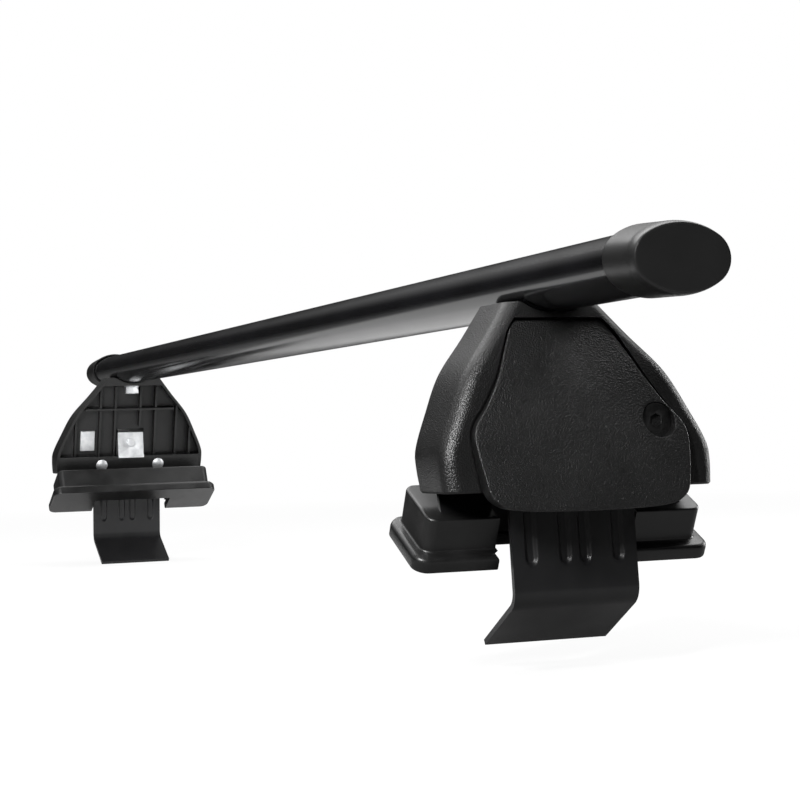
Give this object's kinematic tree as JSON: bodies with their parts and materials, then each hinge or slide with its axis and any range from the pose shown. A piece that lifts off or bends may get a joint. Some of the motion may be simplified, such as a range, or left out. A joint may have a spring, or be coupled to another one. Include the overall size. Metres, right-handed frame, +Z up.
{
  "type": "roof rack crossbar",
  "caption": "Roof rack crossbar: a black oval steel tube on two clamp feet with covers, rubber pads and hooks that grip a car's door frames.",
  "frame": {"origin": "under the middle of the bar, centred on the width, at the height of the lower hook's tip", "axes": "+X along the bar towards the right foot, +Y across the bar, +Z up"},
  "size_m": [1.256, 0.168, 0.2198],
  "materials": {
    "tube_steel": "black powder coat, satin to gloss",
    "cap_plastic": "fine moulded grain",
    "housing_plastic": "moulded leather grain",
    "cover_plastic": "moulded leather grain",
    "black_screw": "black oxide",
    "painted_steel": "black powder coat, satin",
    "black_rubber": "moulded rubber, matt",
    "zinc_steel": "bright zinc plate"
  },
  "bodies": {
    "bar": {"crossbar_tube": "tube_steel", "right_end_cap": "cap_plastic", "left_end_cap": "cap_plastic"},
    "right_foot": {"right_housing": "housing_plastic", "right_lock_plate": "zinc_steel", "right_nut_plate": "zinc_steel", "right_base_bracket": "painted_steel", "right_rivets": "zinc_steel", "right_rubber_foot": "black_rubber", "right_saddle_liner": "black_rubber", "right_t_bolt": "zinc_steel", "right_t_washer": "zinc_steel"},
    "right_cover": {"right_cover": "cover_plastic"},
    "right_lock": {"right_lock_screw": "black_screw"},
    "right_clamp": {"right_clamp_bolt": "zinc_steel", "right_clamp_washer": "zinc_steel"},
    "right_hook": {"right_hook": "painted_steel"},
    "right_nut": {"right_t_nut": "zinc_steel"},
    "left_foot": {"left_housing": "housing_plastic", "left_lock_plate": "zinc_steel", "left_nut_plate": "zinc_steel", "left_base_bracket": "painted_steel", "left_rivets": "zinc_steel", "left_rubber_foot": "black_rubber", "left_saddle_liner": "black_rubber", "left_t_bolt": "zinc_steel", "left_t_washer": "zinc_steel"},
    "left_cover": {"left_cover": "cover_plastic"},
    "left_lock": {"left_lock_screw": "black_screw"},
    "left_clamp": {"left_clamp_bolt": "zinc_steel", "left_clamp_washer": "zinc_steel"},
    "left_hook": {"left_hook": "painted_steel"},
    "left_nut": {"left_t_nut": "zinc_steel"}
  },
  "joints": [
    {"name": "right_foot_slide", "type": "slide", "parent": "bar", "child": "right_foot", "axis": [1, 0, 0], "range_m": [-0.02, 0.02]},
    {"name": "right_hook_slide", "type": "slide", "parent": "right_foot", "child": "right_hook", "axis": [-0.0854, 0, 0.9963], "range_m": [-0.016, 0.004]},
    {"name": "right_cover_pull", "type": "slide", "parent": "right_foot", "child": "right_cover", "axis": [1, 0, 0], "range_m": [0, 0.05]},
    {"name": "right_lock_turn", "type": "hinge", "parent": "right_cover", "child": "right_lock", "pos_m": [0.5205, 0.0444, 0.12806], "axis": [1, 0, 0], "continuous": true},
    {"name": "right_clamp_turn", "type": "hinge", "parent": "right_foot", "child": "right_clamp", "pos_m": [0.5055, 0, 0.12466], "axis": [1, 0, 0], "continuous": true},
    {"name": "right_nut_turn", "type": "hinge", "parent": "right_foot", "child": "right_nut", "pos_m": [0.46798, 0, 0.17906], "axis": [0, 0, 1], "continuous": true},
    {"name": "left_foot_slide", "type": "slide", "parent": "bar", "child": "left_foot", "axis": [1, 0, 0], "range_m": [-0.02, 0.02]},
    {"name": "left_hook_slide", "type": "slide", "parent": "left_foot", "child": "left_hook", "axis": [0.0854, 0, 0.9963], "range_m": [-0.003, 0.017]},
    {"name": "left_cover_pull", "type": "slide", "parent": "left_foot", "child": "left_cover", "axis": [-1, 0, 0], "range_m": [0, 0.05]},
    {"name": "left_lock_turn", "type": "hinge", "parent": "left_cover", "child": "left_lock", "pos_m": [-0.5705, -0.0444, 0.12806], "axis": [-1, 0, 0], "continuous": true},
    {"name": "left_clamp_turn", "type": "hinge", "parent": "left_foot", "child": "left_clamp", "pos_m": [-0.5555, 0, 0.12466], "axis": [-1, 0, 0], "continuous": true},
    {"name": "left_nut_turn", "type": "hinge", "parent": "left_foot", "child": "left_nut", "pos_m": [-0.51798, 0, 0.17906], "axis": [0, 0, 1], "continuous": true}
  ]
}
